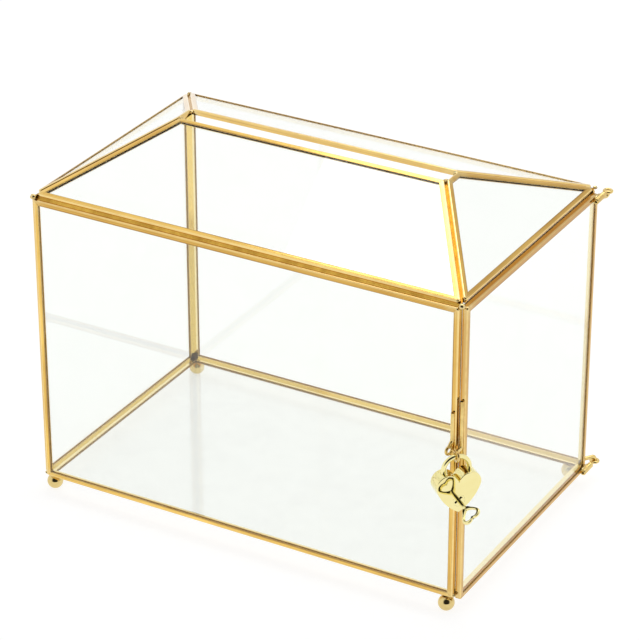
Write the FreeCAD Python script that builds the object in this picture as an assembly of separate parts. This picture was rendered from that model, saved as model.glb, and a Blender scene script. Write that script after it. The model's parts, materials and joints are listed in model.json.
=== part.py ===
import FreeCAD
import Part

import math
import os

# Card box of clear panes held in folded brass channel, with a hinged end door and a heart padlock.
# Millimetres, +Z up, door at +X. The origin is on the table under the middle of the box.

# Inside of the case, measured between the inner faces of its panes; the walls reach below the floor
inner_length = 254.0
inner_width = 154.0
wall_height = 170.0
wall_drop = 1.6
roof_rise = 27.0
slot_length = 160.0
slot_width = 11.0

# Panes and the channel folded around their edges
glass_thickness = 2.0
glass_clearance = 0.05
glass_edge_clearance = 0.2
channel_wall = 0.45
channel_depth = 2.9
channel_corner_radius = 1.6

# Ball feet, each soldered on its own way in from its corner, along X and along Y
foot_diameter = 9.0
foot_insets = {
    "front_left": (1.7, 2.5),
    "front_right": (4.8, 0.3),
    "back_left": (2.0, 0.2),
    "back_right": (7.5, 1.0),
}
foot_seat_depth = 0.4
foot_flat_depth = 0.12

# Solder in the inner corners
solder_radius = 3.4

# Door at the right-hand end
door_gap = 0.35
door_side_gap = 0.35
door_top_gap = 0.35
door_drop = 2.0

# Door hinges
hinge_wire_diameter = 1.7
hinge_shank_diameter = 1.6
hinge_shank_setback = 1.0
hinge_pin_diameter = 2.3
hinge_pin_clearance = 0.05
hinge_pin_recess = 0.6
hinge_bend_radius = 1.6
hinge_axis_behind = 8.5
hinge_top_drop = 2.4
hinge_bottom_rise = 0.0
hinge_arm_gap = 0.9
tube_diameter = 3.4
tube_start = 7.0
tube_end = 3.5
tube_seat_depth = 0.15
tube_clearance = 0.05

# Hasp wires at the front right corner
hasp_wire_diameter = 2.0
hasp_seat_depth = 0.12
hasp_bend_radius = 1.7
case_eye_height = 90.0
case_eye_diameter = 4.0
case_eye_wire_diameter = 1.6
case_eye_reach = 6.0
case_eye_inset = 2.2
case_eye_turn = 70.0
case_wire_bend_rise = 5.0
case_wire_top = 111.0
case_wire_inset = 1.6
door_wire_top = 117.0
door_eye_clearance = 0.5
door_eye_wire_diameter = 1.6

# Padlock: place at the corner, then its own sizes
lock_turn = 50.0
lock_clearance = 1.6
lock_shift = 4.3
lock_height = 75.2
lock_thickness = 8.5
lock_lobe_radius = 6.2
lock_lobe_overlap = 0.1
lock_tip_depth = 16.2
heart_blend_angle = 20.0
lock_wall = 0.9
shackle_diameter = 2.6
shackle_spacing = 14.2
shackle_rise = 7.4
shackle_clearance = 0.05
free_leg_depth = 6.0
heel_depth = 9.4
heel_collar_lip = 0.5
heel_collar_height = 1.0
spring_diameter = 3.2
spring_wall = 0.5
spring_length = 3.0
spring_ledge = 1.2
latch_notch_depth = 1.1
latch_notch_height = 1.7
latch_notch_above_tip = 0.7
latch_nose_height = 1.3
latch_nose_gap = 0.3
latch_nose_reach = 0.6
latch_back_gap = 0.2
latch_thickness = 1.6
latch_arm_width = 1.4
latch_arm_gap = 1.2
latch_plate_left = 2.5
latch_plate_margin = 1.0
keyhole_drop = 9.2
plug_diameter = 6.4
plug_clearance = 0.05
plug_latch_gap = 0.8
plug_flange_diameter = 7.8
plug_flange_height = 1.1
plug_flange_gap = 0.3
cam_radius = 1.6
cam_pin_diameter = 1.4
cam_slot_clearance = 0.3

# Key
key_turn_rest = 40.0
key_turn_limit = 50.0
key_shaft_diameter = 2.2
key_reach = 7.0
key_blade_width = 4.6
key_blade_thickness = 1.1
key_tip_floor = 0.8
key_blade_collar = 0.8
key_clearance = 0.1
bow_lobe_radius = 3.0
bow_lobe_overlap = 0.6
bow_tip_depth = 9.2
bow_thickness = 1.5
bow_hole_lobe_radius = 2.0
bow_hole_lobe_overlap = 0.25
bow_hole_tip_depth = 5.3
bow_hole_drop = 0.7

# Sizes and places that follow from the values above
channel_width = glass_thickness + 2 * glass_clearance
pane_thickness = channel_width + 2 * channel_wall
half_length = inner_length / 2
half_width = inner_width / 2
foot_height = foot_diameter - foot_seat_depth - foot_flat_depth
floor_z = foot_height + pane_thickness
wall_bottom_z = floor_z - wall_drop
eave_z = wall_bottom_z + wall_height
ridge_z = eave_z + roof_rise
door_inner_x = half_length + door_gap
door_outer_x = door_inner_x + pane_thickness
door_front_y = -half_width + door_side_gap
door_back_y = half_width - door_side_gap
door_bottom_z = wall_bottom_z - door_drop
door_top_z = eave_z - door_top_gap
hinge_x = door_outer_x + tube_diameter / 2 - tube_seat_depth
hinge_y = half_width + hinge_axis_behind
hinge_eye_radius = hinge_pin_diameter / 2 + hinge_pin_clearance + hinge_wire_diameter / 2
upper_eye_z = eave_z - hinge_top_drop
lower_eye_z = wall_bottom_z + hinge_bottom_rise
hinge_arm_offset = hinge_wire_diameter / 2 + hinge_pin_diameter / 2 + hinge_arm_gap

# Padlock frame: across the face, up, and out of the face
lock_angle = math.radians(lock_turn)
across = FreeCAD.Vector(math.cos(lock_angle), math.sin(lock_angle), 0)
outward = FreeCAD.Vector(math.sin(lock_angle), -math.cos(lock_angle), 0)
upward = FreeCAD.Vector(0, 0, 1)
case_corner_reach = pane_thickness * math.cos(lock_angle)
door_corner_reach = (door_gap + pane_thickness) * math.sin(lock_angle) - door_side_gap * math.cos(lock_angle)
lock_reach = max(case_corner_reach, door_corner_reach) + lock_clearance + lock_thickness / 2
lock_centre = (
    FreeCAD.Vector(half_length, -half_width, wall_bottom_z + lock_height)
    - across * lock_shift
    + outward * lock_reach
)
lock_face = lock_thickness / 2
lock_inside = lock_face - lock_wall
lock_lobe_offset = lock_lobe_radius - lock_lobe_overlap
leg_offset = shackle_spacing / 2
lobe_top = math.sqrt(lock_lobe_radius**2 - (leg_offset - lock_lobe_offset) ** 2)
arch_base = shackle_rise
arch_top = arch_base + leg_offset
shackle_hook = lock_centre + upward * arch_top
door_eye_radius = shackle_diameter / 2 + door_eye_clearance + door_eye_wire_diameter / 2
heel_bottom = lobe_top - heel_depth
free_leg_tip = lobe_top - free_leg_depth
notch_bottom = free_leg_tip + latch_notch_above_tip
notch_top = notch_bottom + latch_notch_height
latch_tip = leg_offset - shackle_diameter / 2 - latch_nose_gap
latch_right = latch_tip - latch_arm_gap
latch_back = -lock_inside + latch_back_gap
latch_front = latch_back + latch_thickness
plug_back = latch_front + plug_latch_gap
plug_length = lock_face - plug_back
key_tip = plug_back + key_tip_floor
bow_tip = lock_face + key_reach


def vector(x, y, z):
    """Return a point or direction."""
    return FreeCAD.Vector(x, y, z)


def facing(corners):
    """Return the outward normal of an outline given anticlockwise as seen from outside."""
    first = corners[1] - corners[0]
    last = corners[-1] - corners[0]
    return first.cross(last).normalize()


def inset(corners, distance):
    """Return the outline with every side moved inwards by distance."""
    normal = facing(corners)
    moved = []
    for index, corner in enumerate(corners):
        arriving = (corner - corners[index - 1]).normalize()
        leaving = (corners[(index + 1) % len(corners)] - corner).normalize()
        inward = normal.cross(arriving) + normal.cross(leaving)
        moved.append(corner + inward * (distance / inward.dot(normal.cross(leaving))))
    return moved


def slab(corners, start, thickness, corner_radius=0.0):
    """Return a plate on an outline, from start to start + thickness along its normal."""
    normal = facing(corners)
    lifted = [corner + normal * start for corner in corners]
    outline = Part.makePolygon(lifted + lifted[:1])
    solid = Part.Face(outline).extrude(normal * thickness)
    if corner_radius > 0:
        uprights = [edge for edge in solid.Edges if abs(edge.tangentAt(0).dot(normal)) > 0.99]
        solid = solid.makeFillet(corner_radius, uprights)
    return solid


def channel_frame(corners):
    """Return the four mitred channel strips around one pane."""
    frame = slab(corners, 0, pane_thickness, channel_corner_radius)
    groove_outline = inset(corners, channel_wall)
    groove = slab(groove_outline, channel_wall, channel_width, channel_corner_radius - channel_wall)
    window = slab(inset(corners, channel_depth), -1, pane_thickness + 2)
    frame = frame.cut(groove).cut(window)
    beyond = inset(corners, -1)
    within = inset(corners, channel_depth + 1)
    strips = []
    for index in range(len(corners)):
        following = (index + 1) % len(corners)
        wedge = [beyond[index], beyond[following], within[following], within[index]]
        strips.extend(frame.common(slab(wedge, -1, pane_thickness + 2)).Solids)
    return Part.makeCompound(strips)


def glass_pane(corners):
    """Return the glass that sits in the channel strips of one pane."""
    edge = channel_wall + glass_edge_clearance
    start = channel_wall + glass_clearance
    return slab(inset(corners, edge), start, glass_thickness, channel_corner_radius - edge)


def bent_wire(points, bend_radius, diameter):
    """Return a round wire along straight runs joined by tangent bends."""
    edges = []
    start = points[0]
    for before, corner, after in zip(points, points[1:], points[2:]):
        back = (before - corner).normalize()
        onward = (after - corner).normalize()
        half_angle = back.getAngle(onward) / 2
        setback = bend_radius / math.tan(half_angle)
        bisector = (back + onward).normalize()
        middle = corner + bisector * (bend_radius / math.sin(half_angle) - bend_radius)
        edges.append(Part.makeLine(start, corner + back * setback))
        edges.append(Part.Arc(corner + back * setback, middle, corner + onward * setback).toShape())
        start = corner + onward * setback
    edges.append(Part.makeLine(start, points[-1]))
    section = Part.Wire(Part.makeCircle(diameter / 2, points[0], points[1] - points[0]))
    return Part.Wire(edges).makePipeShell([section], True, False)


def block(low, high):
    """Return a box between two opposite corners."""
    size = high - low
    return Part.makeBox(size.x, size.y, size.z, low)


def heart_side(lobe_radius, lobe_offset, tip_depth):
    """Return where a heart's right side leaves its lobe, and that side's arc centre and radius."""
    lean = math.radians(heart_blend_angle)
    radial = vector(math.cos(lean), -math.sin(lean), 0)
    blend = vector(lobe_offset, 0, 0) + radial * lobe_radius
    chord = vector(0, -tip_depth, 0) - blend
    radius = -chord.dot(chord) / (2 * chord.dot(radial))
    return blend, blend - radial * radius, radius


def arc_about(centre, start, end):
    """Return the shorter arc between two points around a centre."""
    radius = (start - centre).Length
    middle_way = ((start - centre).normalize() + (end - centre).normalize()).normalize()
    return Part.Arc(start, centre + middle_way * radius, end).toShape()


def mirrored(point):
    """Return the point on the other side of a heart's centre line."""
    return vector(-point.x, point.y, point.z)


def heart_face(lobe_radius, lobe_overlap, tip_depth):
    """Return a heart in the XY plane with its lobe centres on the X axis and its tip below."""
    lobe_offset = lobe_radius - lobe_overlap
    blend, side_centre, side_radius = heart_side(lobe_radius, lobe_offset, tip_depth)
    tip = vector(0, -tip_depth, 0)
    notch = vector(0, math.sqrt(lobe_radius**2 - lobe_offset**2), 0)
    crown = vector(lobe_offset, lobe_radius, 0)
    edges = [
        Part.Arc(notch, crown, blend).toShape(),
        arc_about(side_centre, blend, tip),
        arc_about(mirrored(side_centre), tip, mirrored(blend)),
        Part.Arc(mirrored(blend), mirrored(crown), notch).toShape(),
    ]
    return Part.Face(Part.Wire(edges))


def lock_cavity():
    """Return the padlock's hollow: two round lobes that run down into a tapered middle."""
    blend, side_centre, side_radius = heart_side(lock_lobe_radius, lock_lobe_offset, lock_tip_depth)
    start = side_centre + (blend - side_centre) * ((side_radius - lock_wall) / side_radius)
    fall = math.sqrt((side_radius - lock_wall) ** 2 - side_centre.x**2)
    tip = vector(0, side_centre.y - fall, 0)
    edges = [
        arc_about(side_centre, start, tip),
        arc_about(mirrored(side_centre), tip, mirrored(start)),
        Part.makeLine(mirrored(start), start),
    ]
    hollow = Part.Face(Part.Wire(edges)).extrude(vector(0, 0, 2 * lock_inside))
    for side in (-1, 1):
        lobe_centre = vector(side * lock_lobe_offset, 0, 0)
        lobe = Part.makeCylinder(lock_lobe_radius - lock_wall, 2 * lock_inside, lobe_centre)
        hollow = hollow.fuse(lobe)
    hollow.translate(vector(0, 0, -lock_inside))
    return hollow


def lock_shells():
    """Return the front and back shells of the padlock, in the padlock's own frame."""
    heart = heart_face(lock_lobe_radius, lock_lobe_overlap, lock_tip_depth)
    body = heart.extrude(vector(0, 0, lock_thickness))
    body.translate(vector(0, 0, -lock_face))
    body = body.cut(lock_cavity())
    for side in (-1, 1):
        mouth = vector(side * leg_offset, lobe_top - lock_lobe_radius / 2, 0)
        bore = shackle_diameter / 2 + shackle_clearance
        body = body.cut(Part.makeCylinder(bore, lock_lobe_radius, mouth, vector(0, 1, 0)))
    keyhole = vector(0, -keyhole_drop, 0)
    body_front = body.cut(Part.makeCylinder(plug_diameter / 2 + plug_clearance, lock_thickness, keyhole))
    reach = lock_lobe_offset + lock_lobe_radius + lock_tip_depth
    ahead = block(vector(-reach, -reach, 0), vector(reach, reach, lock_thickness))
    behind = block(vector(-reach, -reach, -lock_thickness), vector(reach, reach, 0))
    ledge_top = heel_bottom - spring_length
    ledge_half = spring_diameter / 2
    ledge = block(
        vector(-leg_offset - ledge_half, ledge_top - spring_ledge, -lock_inside),
        vector(-leg_offset + ledge_half, ledge_top, 0),
    )
    body_solid = heart.extrude(vector(0, 0, lock_thickness))
    body_solid.translate(vector(0, 0, -lock_face))
    back = body.common(behind).fuse(ledge.common(body_solid)).removeSplitter()
    return body_front.common(ahead), back


def shackle_shape():
    """Return the padlock's shackle with its heel collar and latch notch."""
    radius = shackle_diameter / 2
    heel = vector(-leg_offset, heel_bottom, 0)
    left = vector(-leg_offset, arch_base, 0)
    right = vector(leg_offset, arch_base, 0)
    tip = vector(leg_offset, free_leg_tip, 0)
    arch = Part.Arc(left, vector(0, arch_top, 0), right).toShape()
    path = Part.Wire([Part.makeLine(heel, left), arch, Part.makeLine(right, tip)])
    section = Part.Wire(Part.makeCircle(radius, heel, vector(0, 1, 0)))
    rod = path.makePipeShell([section], True, False)
    collar_radius = radius + heel_collar_lip
    collar = Part.makeCylinder(collar_radius, heel_collar_height, heel, vector(0, 1, 0))
    notch = block(
        vector(leg_offset - 2 * radius, notch_bottom, -2 * radius),
        vector(leg_offset - radius + latch_notch_depth, notch_top, 2 * radius),
    )
    return rod.fuse(collar).cut(notch)


def spring_shape():
    """Return the space of the spring that lifts the shackle, as a plain sleeve."""
    seat = vector(-leg_offset, heel_bottom - spring_length, 0)
    outer = Part.makeCylinder(spring_diameter / 2, spring_length, seat, vector(0, 1, 0))
    inner = Part.makeCylinder(spring_diameter / 2 - spring_wall, spring_length, seat, vector(0, 1, 0))
    return outer.cut(inner)


def blade_slot(margin, start, end):
    """Return the key's blade and shaft, grown by a margin, between two depths along the keyhole."""
    reach = key_blade_width / 2 + margin
    rise = key_blade_thickness / 2 + margin
    blade = block(vector(-reach, -rise, start), vector(reach, rise, end))
    shaft = Part.makeCylinder(key_shaft_diameter / 2 + margin, end - start, vector(0, 0, start))
    return blade.fuse(shaft)


def at_keyhole(shape):
    """Return the shape turned to the key's resting angle and moved to the keyhole."""
    turned = shape.copy()
    turned.rotate(vector(0, 0, 0), vector(0, 0, 1), key_turn_rest)
    turned.translate(vector(0, -keyhole_drop, 0))
    return turned


def plug_shape():
    """Return the turning plug with its keyway and the pin that drives the latch."""
    keyhole = vector(0, -keyhole_drop, 0)
    plug = Part.makeCylinder(plug_diameter / 2, plug_length, keyhole + vector(0, 0, plug_back))
    flange_base = keyhole + vector(0, 0, lock_inside - plug_flange_gap - plug_flange_height)
    flange = Part.makeCylinder(plug_flange_diameter / 2, plug_flange_height, flange_base)
    keyway = at_keyhole(blade_slot(key_clearance, key_tip - key_clearance, lock_face + 1))
    pin_base = keyhole + vector(0, cam_radius, latch_back)
    pin = Part.makeCylinder(cam_pin_diameter / 2, plug_back - latch_back + key_blade_collar, pin_base)
    return plug.fuse(flange).cut(keyway).fuse(pin)


def latch_shape():
    """Return the latch: a slotted plate on the plug's pin, an arm, and a nose for the shackle's notch."""
    pin_half = cam_pin_diameter / 2 + cam_slot_clearance
    lowest = -keyhole_drop + cam_radius * math.cos(math.radians(key_turn_limit)) - pin_half
    highest = -keyhole_drop + cam_radius + pin_half
    nose_middle = (notch_bottom + notch_top) / 2
    nose_low = nose_middle - latch_nose_height / 2
    nose_high = nose_middle + latch_nose_height / 2
    plate = block(
        vector(-latch_plate_left, lowest - latch_plate_margin, latch_back),
        vector(latch_right, highest + latch_plate_margin, latch_front),
    )
    arm = block(
        vector(latch_right - latch_arm_width, lowest, latch_back),
        vector(latch_right, nose_high, latch_front),
    )
    nose = block(
        vector(latch_right - latch_arm_width, nose_low, latch_back),
        vector(latch_tip, nose_high, latch_nose_reach),
    )
    slot = block(vector(-pin_half, lowest, latch_back - 1), vector(pin_half, highest, latch_front + 1))
    return plate.fuse(arm).fuse(nose).cut(slot).removeSplitter()


def key_shape():
    """Return the key: blade, round shaft and heart-shaped bow."""
    blade = blade_slot(0, key_tip, lock_face + key_blade_collar)
    overlap = (bow_tip_depth - bow_hole_tip_depth) / 2
    shaft = Part.makeCylinder(key_shaft_diameter / 2, key_reach + overlap, vector(0, 0, lock_face))
    bow = heart_face(bow_lobe_radius, bow_lobe_overlap, bow_tip_depth).extrude(vector(0, 0, bow_thickness))
    eye = heart_face(bow_hole_lobe_radius, bow_hole_lobe_overlap, bow_hole_tip_depth)
    eye.translate(vector(0, -bow_hole_drop, -1))
    bow = bow.cut(eye.extrude(vector(0, 0, bow_thickness + 2)))
    bow.translate(vector(0, 0, -bow_thickness / 2))
    bow.rotate(vector(0, 0, 0), vector(1, 0, 0), 90)
    bow.translate(vector(0, 0, bow_tip + bow_tip_depth))
    return at_keyhole(blade.fuse(shaft).fuse(bow))


def at_corner(shape):
    """Return a padlock shape moved from the padlock's own frame to the front right corner."""
    rows = [[across[axis], upward[axis], outward[axis], lock_centre[axis]] for axis in range(3)]
    matrix = FreeCAD.Matrix(*rows[0], *rows[1], *rows[2], 0, 0, 0, 1)
    moved = shape.copy()
    moved.Placement = FreeCAD.Placement(matrix).multiply(moved.Placement)
    return moved


def four_corners(reach_x, reach_y, z):
    """Return the front left, front right, back right and back left corners of a level rectangle."""
    signs = [(-1, -1), (1, -1), (1, 1), (-1, 1)]
    return [vector(side_x * reach_x, side_y * reach_y, z) for side_x, side_y in signs]


def pane_outlines():
    """Return the inner outline of every pane, anticlockwise as seen from outside."""
    floor = four_corners(half_length, half_width, floor_z)
    low = four_corners(half_length, half_width, wall_bottom_z)
    eave = four_corners(half_length, half_width, eave_z)
    ridge = four_corners(slot_length / 2, slot_width / 2, ridge_z)
    return {
        "base": [floor[0], floor[3], floor[2], floor[1]],
        "front": [low[0], low[1], eave[1], eave[0]],
        "back": [low[2], low[3], eave[3], eave[2]],
        "left": [low[3], low[0], eave[0], eave[3]],
        "roof_front": [eave[0], eave[1], ridge[1], ridge[0]],
        "roof_right": [eave[1], eave[2], ridge[2], ridge[1]],
        "roof_back": [eave[2], eave[3], ridge[3], ridge[2]],
        "roof_left": [eave[3], eave[0], ridge[0], ridge[3]],
        "door": [
            vector(door_inner_x, door_front_y, door_bottom_z),
            vector(door_inner_x, door_back_y, door_bottom_z),
            vector(door_inner_x, door_back_y, door_top_z),
            vector(door_inner_x, door_front_y, door_top_z),
        ],
    }


def solder_blobs():
    """Return the solder in the inner corners at the floor and at the eaves."""
    low = four_corners(half_length, half_width, floor_z)
    eave = four_corners(half_length, half_width, eave_z)
    ridge = four_corners(slot_length / 2, slot_width / 2, ridge_z)
    walls = block(low[0], eave[2])
    roof = Part.makeLoft([Part.makePolygon(ring + ring[:1]) for ring in (eave, ridge)], True, True)
    inside = walls.fuse(roof)
    blobs = []
    for corner in low + eave:
        blobs.extend(Part.makeSphere(solder_radius, corner).common(inside).Solids)
    return Part.makeCompound(blobs)


def foot_shape(corner, side_x, side_y):
    """Return one ball foot, flat on top against the base and flat below to rest on the table."""
    inset_x, inset_y = foot_insets[corner]
    centre_x = side_x * (half_length - inset_x)
    centre_y = side_y * (half_width - inset_y)
    radius = foot_diameter / 2
    ball = Part.makeSphere(radius, vector(centre_x, centre_y, radius - foot_flat_depth))
    low = vector(centre_x - radius, centre_y - radius, 0)
    high = vector(centre_x + radius, centre_y + radius, foot_height)
    return ball.common(block(low, high))


def hinge_tube(eye_z):
    """Return the tube soldered on the door's outer face that holds a hinge eye."""
    start = vector(hinge_x, half_width - tube_start, eye_z)
    length = tube_start + tube_end
    tube = Part.makeCylinder(tube_diameter / 2, length, start, vector(0, 1, 0))
    bore = Part.makeCylinder(hinge_shank_diameter / 2 + tube_clearance, length, start, vector(0, 1, 0))
    behind = block(
        vector(door_inner_x, start.y, eye_z - tube_diameter),
        vector(door_outer_x, start.y + length, eye_z + tube_diameter),
    )
    return tube.cut(bore).cut(behind)


def hinge_eye(eye_z):
    """Return the wire eye that turns on a hinge pin, with its shank in the door's tube."""
    start = vector(hinge_x, half_width - tube_start + hinge_shank_setback, eye_z)
    length = hinge_y - hinge_eye_radius - start.y
    shank = Part.makeCylinder(hinge_shank_diameter / 2, length, start, vector(0, 1, 0))
    ring = Part.makeTorus(hinge_eye_radius, hinge_wire_diameter / 2, vector(hinge_x, hinge_y, eye_z))
    return ring.fuse(shank)


def hinge_pin(eye_z, arm_side):
    """Return the bent wire from the case to a hinge's pin; arm_side is -1 below the eye and 1 above."""
    arm_z = eye_z + arm_side * hinge_arm_offset
    root = vector(half_length, half_width + pane_thickness / 2, arm_z)
    knee = vector(hinge_x, hinge_y, arm_z)
    buried = root + (root - knee).normalize() * hinge_pin_diameter * 2
    end = vector(hinge_x, hinge_y, eye_z - arm_side * (hinge_wire_diameter / 2 - hinge_pin_recess))
    wire = bent_wire([buried, knee, end], hinge_bend_radius, hinge_pin_diameter)
    reach = hinge_axis_behind * 2
    inside = block(
        vector(half_length - reach, half_width - reach, arm_z - reach),
        vector(half_length, half_width + reach, arm_z + reach),
    )
    return wire.cut(inside)


def case_hasp_eye():
    """Return the wire soldered upright on the front wall's edge, ending in an eye."""
    face_y = -half_width - pane_thickness
    wire_x = half_length - case_wire_inset
    wire_y = face_y - hasp_wire_diameter / 2 + hasp_seat_depth
    eye = vector(half_length - case_eye_inset, -half_width - case_eye_reach, wall_bottom_z + case_eye_height)
    ring_top = eye + vector(0, 0, case_eye_diameter / 2)
    top = vector(wire_x, wire_y, wall_bottom_z + case_wire_top)
    bend = vector(wire_x, wire_y, eye.z + case_wire_bend_rise)
    wire = bent_wire([top, bend, ring_top], hasp_bend_radius, hasp_wire_diameter)
    turn = math.radians(case_eye_turn)
    way = vector(math.sin(turn), -math.cos(turn), 0)
    ring = Part.makeTorus(case_eye_diameter / 2, case_eye_wire_diameter / 2, eye, way)
    behind = block(
        vector(wire_x - hasp_wire_diameter, face_y, eye.z),
        vector(wire_x + hasp_wire_diameter, face_y + hasp_wire_diameter, top.z + 1),
    )
    return wire.cut(behind).fuse(ring)


def door_hasp_eye():
    """Return the wire soldered upright on the door's front edge, ending in the eye the padlock hangs in."""
    wire_x = door_inner_x + pane_thickness / 2
    wire_y = door_front_y - hasp_wire_diameter / 2 + hasp_seat_depth
    near = shackle_hook - outward * door_eye_radius
    top = vector(wire_x, wire_y, wall_bottom_z + door_wire_top)
    bend = vector(wire_x, wire_y, shackle_hook.z)
    wire = bent_wire([top, bend, near], hasp_bend_radius, hasp_wire_diameter)
    ring = Part.makeTorus(door_eye_radius, door_eye_wire_diameter / 2, shackle_hook, across)
    behind = block(
        vector(wire_x - hasp_wire_diameter, door_front_y, bend.z - hasp_wire_diameter),
        vector(wire_x + hasp_wire_diameter, door_front_y + hasp_wire_diameter, top.z + 1),
    )
    return wire.cut(behind).fuse(ring)


def build_nodes():
    """Return every piece of the card box by name."""
    nodes = {}
    for name, corners in pane_outlines().items():
        nodes[name + "_channel"] = channel_frame(corners)
        nodes[name + "_glass"] = glass_pane(corners)
    for side_y, row in ((-1, "front"), (1, "back")):
        for side_x, end in ((-1, "left"), (1, "right")):
            corner = row + "_" + end
            nodes[corner + "_foot"] = foot_shape(corner, side_x, side_y)
    nodes["corner_solder"] = solder_blobs()
    for level, eye_z, arm_side in (("upper", upper_eye_z, -1), ("lower", lower_eye_z, 1)):
        nodes[level + "_hinge_tube"] = hinge_tube(eye_z)
        nodes[level + "_hinge_eye"] = hinge_eye(eye_z)
        nodes[level + "_hinge_pin"] = hinge_pin(eye_z, arm_side)
    nodes["case_hasp_eye"] = case_hasp_eye()
    nodes["door_hasp_eye"] = door_hasp_eye()
    front_shell, back_shell = lock_shells()
    nodes["lock_front_shell"] = at_corner(front_shell)
    nodes["lock_back_shell"] = at_corner(back_shell)
    nodes["shackle"] = at_corner(shackle_shape())
    nodes["shackle_spring"] = at_corner(spring_shape())
    nodes["lock_plug"] = at_corner(plug_shape())
    nodes["lock_latch"] = at_corner(latch_shape())
    nodes["key"] = at_corner(key_shape())
    return nodes


os.makedirs("parts", exist_ok=True)
for node, shape in build_nodes().items():
    shape.exportStep("parts/" + node + ".step")
    print(node, len(shape.Solids), shape.isValid(), round(shape.Volume, 1))
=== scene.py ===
"""Looks of the card box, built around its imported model.

Clear panes in folded brass channel, a hipped roof with a card slot, an end door on wire hinges, ball feet
and a heart padlock with its key. Metres, +Z up, door at +X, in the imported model's own frame.
"""

from __future__ import annotations

import json
import logging
import math
from collections.abc import Callable
from dataclasses import dataclass, field
from enum import Enum

import bmesh
import bpy
from mathutils import Matrix, Vector, noise

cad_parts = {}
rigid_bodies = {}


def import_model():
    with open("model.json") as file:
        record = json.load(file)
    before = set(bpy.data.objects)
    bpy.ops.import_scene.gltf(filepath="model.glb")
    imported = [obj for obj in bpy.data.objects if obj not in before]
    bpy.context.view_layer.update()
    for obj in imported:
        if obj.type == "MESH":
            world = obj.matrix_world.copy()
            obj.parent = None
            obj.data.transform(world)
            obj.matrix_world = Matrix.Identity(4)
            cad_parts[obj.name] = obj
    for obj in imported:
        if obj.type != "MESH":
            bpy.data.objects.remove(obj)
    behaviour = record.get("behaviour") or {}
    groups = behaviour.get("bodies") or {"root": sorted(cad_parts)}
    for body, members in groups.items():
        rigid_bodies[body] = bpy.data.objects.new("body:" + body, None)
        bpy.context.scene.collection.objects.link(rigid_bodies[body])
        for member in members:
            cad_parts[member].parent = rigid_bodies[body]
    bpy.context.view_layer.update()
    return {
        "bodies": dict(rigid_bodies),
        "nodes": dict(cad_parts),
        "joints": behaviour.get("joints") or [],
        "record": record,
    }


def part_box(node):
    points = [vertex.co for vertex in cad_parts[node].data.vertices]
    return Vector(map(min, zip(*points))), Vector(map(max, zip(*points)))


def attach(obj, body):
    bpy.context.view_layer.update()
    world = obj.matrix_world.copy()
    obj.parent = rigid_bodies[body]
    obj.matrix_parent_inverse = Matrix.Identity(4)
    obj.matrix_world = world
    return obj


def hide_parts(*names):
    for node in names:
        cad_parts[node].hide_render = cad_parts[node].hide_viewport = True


LOG = logging.getLogger("card_box")
NOISE_ROUGHNESS = 0.55
WHITE = (1.0, 1.0, 1.0)
UP = Vector((0.0, 0.0, 1.0))

# Distances at which points merge and places match
MERGE = 1e-6
NEAR = 2e-5

# Turns at an edge inside a flat face, and past which an edge is sharp
FLAT_ANGLE = math.radians(0.4)
SHARP_TURN = 0.7

# Cosines that sort faces by the way they point
SQUARE = 0.99
ALONG = 0.9
CROSSWISE = 0.5
LEANING = 0.2

Colour = tuple[float, float, float]
Scale = tuple[float, float, float]
Range = tuple[float, float]
Mesh = bmesh.types.BMesh
MeshEdge = bmesh.types.BMEdge
Socket = bpy.types.NodeSocket


class Body(Enum):
    """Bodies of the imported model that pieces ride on."""

    CASE = "case"
    DOOR = "door"
    LOCK = "lock_body"
    KEY = "key"


class Slot(Enum):
    """Material slots of the record."""

    CHANNEL = "brass_channel"
    WIRE = "brass_wire"
    FEET = "brass_feet"
    GOLD = "polished_gold"
    SOLDER = "solder"


class Pane(Enum):
    """The nine panes of the box."""

    BASE = "base"
    FRONT = "front"
    BACK = "back"
    LEFT = "left"
    ROOF_FRONT = "roof_front"
    ROOF_RIGHT = "roof_right"
    ROOF_BACK = "roof_back"
    ROOF_LEFT = "roof_left"
    DOOR = "door"

    @property
    def body(self) -> Body:
        """Body that carries the pane."""
        return Body.DOOR if self is Pane.DOOR else Body.CASE


class Edge(Enum):
    """Which long edge of a channel strip is rounded."""

    FOLD = "fold"
    LIP = "lip"


class Level(Enum):
    """The two hinges of the door."""

    UPPER = "upper"
    LOWER = "lower"


# Fixed panes that meet along a soldered groove
SEAMS = (
    (Pane.FRONT, Pane.ROOF_FRONT),
    (Pane.BACK, Pane.ROOF_BACK),
    (Pane.LEFT, Pane.ROOF_LEFT),
    (Pane.FRONT, Pane.LEFT),
    (Pane.LEFT, Pane.BACK),
    (Pane.ROOF_FRONT, Pane.ROOF_RIGHT),
    (Pane.ROOF_RIGHT, Pane.ROOF_BACK),
    (Pane.ROOF_BACK, Pane.ROOF_LEFT),
    (Pane.ROOF_LEFT, Pane.ROOF_FRONT),
)

# The roof's panes, in order round the eaves
ROOFS = (Pane.ROOF_FRONT, Pane.ROOF_RIGHT, Pane.ROOF_BACK, Pane.ROOF_LEFT)

# Painted shade: how far each strip of a frame is darkened, side by side round its pane
STRIP_SHADES = {
    Pane.FRONT: (0.0, 0.2, 0.5, 0.0),
    Pane.ROOF_FRONT: (0.1, 0.0, 0.05, 0.1),
    Pane.ROOF_RIGHT: (0.4, 0.3, 0.3, 0.3),
    Pane.DOOR: (0.5, 0.3, 0.85, 0.45),
}
# Painted shade of the strips of the other panes
PLAIN_STRIP_SHADES = (0.2, 0.3, 0.25, 0.15)


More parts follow.
